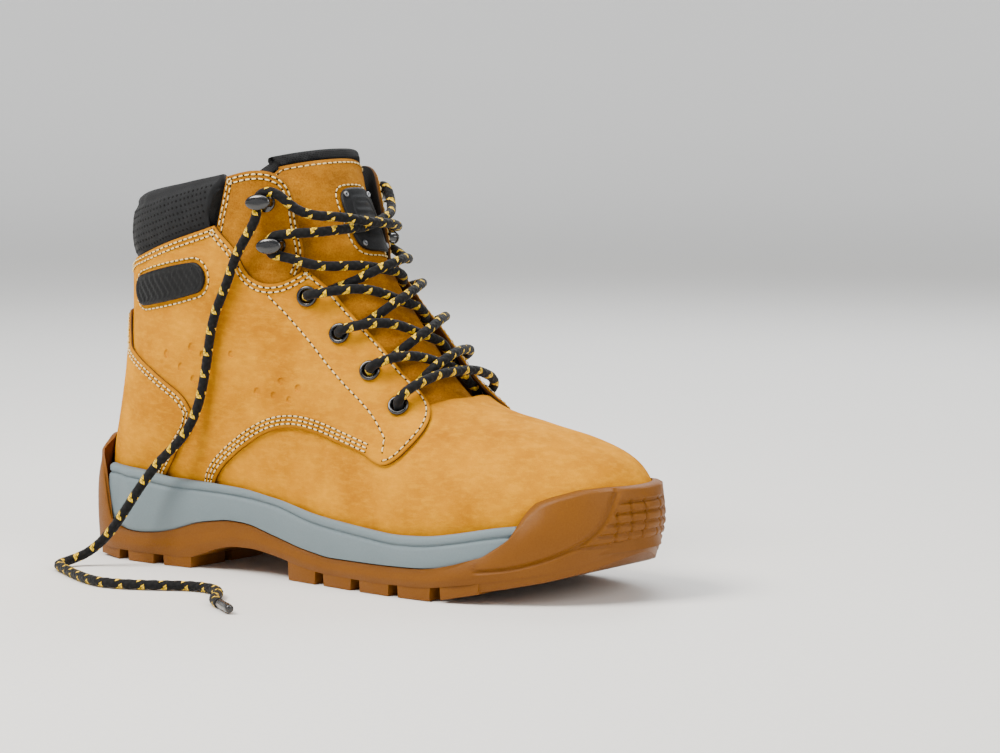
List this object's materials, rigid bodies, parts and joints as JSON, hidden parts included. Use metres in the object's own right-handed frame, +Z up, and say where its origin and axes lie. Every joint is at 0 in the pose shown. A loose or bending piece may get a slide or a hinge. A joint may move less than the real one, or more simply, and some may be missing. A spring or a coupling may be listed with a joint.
{
  "type": "steel toe work boot",
  "caption": "Ankle-high laced work boot with a capped toe, padded collar and tongue, lace hooks, a two-part moulded sole and a footbed that lifts.",
  "frame": {"origin": "middle of the sole's box, on the ground", "axes": "+X to the toe, +Y to the inner side of the foot, +Z up"},
  "size_m": [0.3067, 0.2895, 0.1943],
  "materials": {
    "nubuck": "matt honey nubuck, brushed",
    "suede": "matt brushed suede, darker than the body leather",
    "collar_cloth": "charcoal synthetic with small perforations",
    "lining_cloth": "black spacer mesh",
    "padding": "open-cell foam padding",
    "rubber_sole": "amber rubber, matt with moulded ribs",
    "midsole_foam": "blue-grey moulded foam, satin",
    "plate_steel": "bare steel",
    "board": "pressed fibre board",
    "black_enamel": "gloss black enamel",
    "black_rubber": "moulded black rubber",
    "edging": "soft black edging",
    "footbed_cloth": "black cloth over foam",
    "lace_braid": "black round braid with yellow flecks",
    "aglet_plastic": "black plastic film"
  },
  "bodies": {
    "shell": {"outsole": "rubber_sole", "midsole": "midsole_foam", "midsole_plate": "plate_steel", "insole_board": "board", "vamp": "nubuck", "quarter_outer": "nubuck", "quarter_inner": "nubuck", "heel_cover": "nubuck", "hook_panel_outer": "suede", "hook_panel_inner": "suede", "heel_stiffener": "board", "side_badge": "black_rubber", "vamp_lining": "lining_cloth", "toe_cap": "plate_steel", "toe_cap_edging": "edging", "shaft_lining": "lining_cloth", "shaft_padding": "padding", "collar_cover": "collar_cloth", "collar_foam": "padding", "lace": "lace_braid", "lace_end_outer": "lace_braid", "lace_end_inner": "lace_braid", "aglet_outer": "aglet_plastic", "aglet_inner": "aglet_plastic", "eyelet_outer_1": "black_enamel", "eyelet_outer_2": "black_enamel", "eyelet_outer_3": "black_enamel", "eyelet_outer_4": "black_enamel", "lace_hook_outer_1": "black_enamel", "lace_hook_outer_2": "black_enamel", "eyelet_inner_1": "black_enamel", "eyelet_inner_2": "black_enamel", "eyelet_inner_3": "black_enamel", "eyelet_inner_4": "black_enamel", "lace_hook_inner_1": "black_enamel", "lace_hook_inner_2": "black_enamel"},
    "tongue": {"tongue_leather": "suede", "tongue_foam": "padding", "tongue_lining": "lining_cloth", "tongue_badge": "black_rubber"},
    "footbed": {"footbed": "footbed_cloth"}
  },
  "joints": [
    {"name": "tongue_tilt", "type": "hinge", "parent": "shell", "child": "tongue", "pos_m": [0.0615, 0.001, 0.08], "axis": [0, 1, 0], "range_deg": [-10, 0]},
    {"name": "footbed_lift", "type": "hinge", "parent": "shell", "child": "footbed", "pos_m": [0.1355, 0.001, 0.0295], "axis": [0, 1, 0], "range_deg": [0, 5]}
  ]
}
